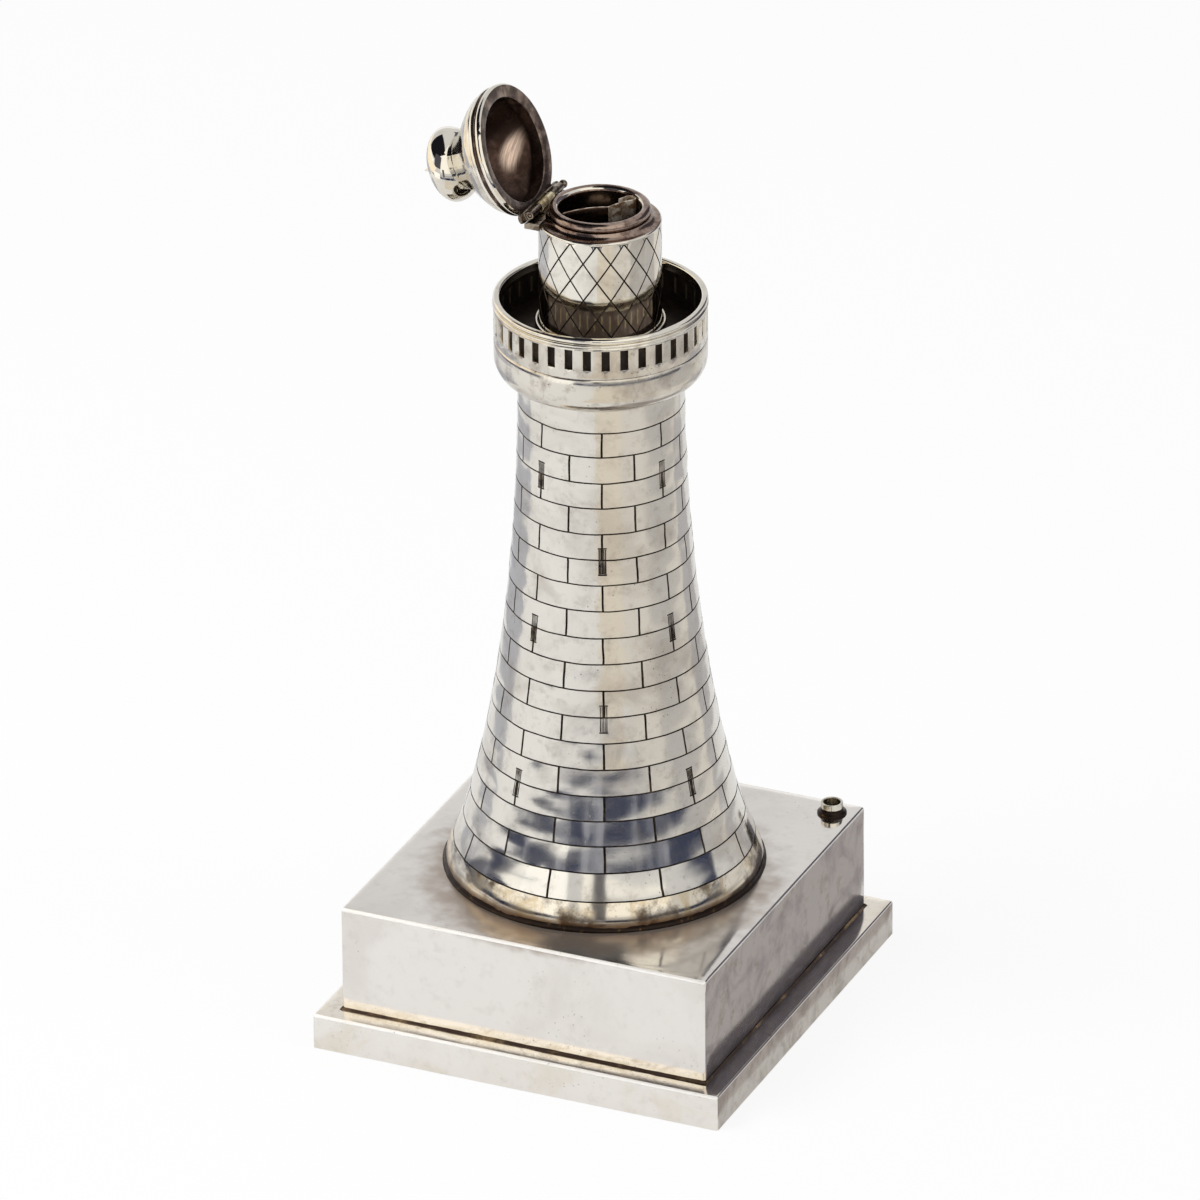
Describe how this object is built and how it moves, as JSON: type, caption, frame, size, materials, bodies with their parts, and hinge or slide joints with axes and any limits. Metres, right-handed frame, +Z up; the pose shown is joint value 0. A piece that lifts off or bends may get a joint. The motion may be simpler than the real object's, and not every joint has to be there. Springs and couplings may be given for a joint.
{
  "type": "figural table lighter",
  "caption": "Silver table lighter in the form of a lighthouse: coursed tower on a square plinth, pierced gallery, lift-out lantern lamp with a hinged domed lid and ball finial, wand socket.",
  "frame": {"origin": "centre of the underside of the square foot flange", "axes": "+Z up along the tower, +Y towards the plinth's side with the wand socket, -X towards the side that the lid opens to"},
  "size_m": [0.08, 0.082, 0.1774],
  "materials": {
    "flange_silver": "old polished sheet silver, lightly tarnished",
    "plinth_silver": "old polished sheet silver, lightly tarnished",
    "tower_silver": "old polished silver with engraved masonry",
    "cup_silver": "old polished silver, pitted",
    "band_silver": "pierced polished silver",
    "rail_silver": "turned bright silver",
    "deck_silver": "dark tarnished silver",
    "seat_silver": "turned silver, tarnished in the corners",
    "drum_silver": "polished silver with an engraved lattice",
    "neck_silver": "brown tarnished silver",
    "hinge_silver": "dark tarnished silver",
    "pin_silver": "worn silver wire",
    "clip_silver": "sprung silver strip, heat stained",
    "rim_silver": "turned silver, dark on its inner face",
    "dome_silver": "polished outside, smoked brown inside",
    "ball_silver": "bright polished silver",
    "socket_silver": "worn silver tube",
    "solder": "hard solder, blackened and amber stained",
    "plain_tin": "plain dull tin plate",
    "cotton": "undyed cotton"
  },
  "bodies": {
    "base": {"base_flange": "flange_silver", "bottom_plate": "plain_tin", "plinth_box": "plinth_silver", "plinth_seam": "solder", "wand_tube": "socket_silver", "wand_washer": "solder", "tower_shell": "tower_silver", "tower_seam": "solder", "gallery_cup": "cup_silver", "gallery_band": "band_silver", "gallery_rail": "rail_silver", "gallery_deck": "deck_silver", "lantern_seat": "seat_silver"},
    "lantern": {"lantern_floor": "plain_tin", "lantern_drum": "drum_silver", "lantern_shoulder": "neck_silver", "lantern_neck": "neck_silver", "hinge_bracket": "hinge_silver", "hinge_pin": "pin_silver", "font_can": "plain_tin", "font_top": "plain_tin", "wick_tube": "plain_tin", "wick": "cotton", "font_packing": "cotton", "wick_clip": "clip_silver"},
    "lid": {"lid_rim": "rim_silver", "lid_dome": "dome_silver", "lid_hinge_lugs": "hinge_silver", "finial_ball": "ball_silver", "finial_spike": "ball_silver"}
  },
  "joints": [
    {"name": "lantern_lift", "type": "slide", "parent": "base", "child": "lantern", "axis": [0, 0, 1], "range_m": [0, 0.0085]},
    {"name": "lid_hinge", "type": "hinge", "parent": "lantern", "child": "lid", "pos_m": [-0.0106, 0, 0.15726], "axis": [0, 1, 0], "range_deg": [0, 112.5]}
  ]
}
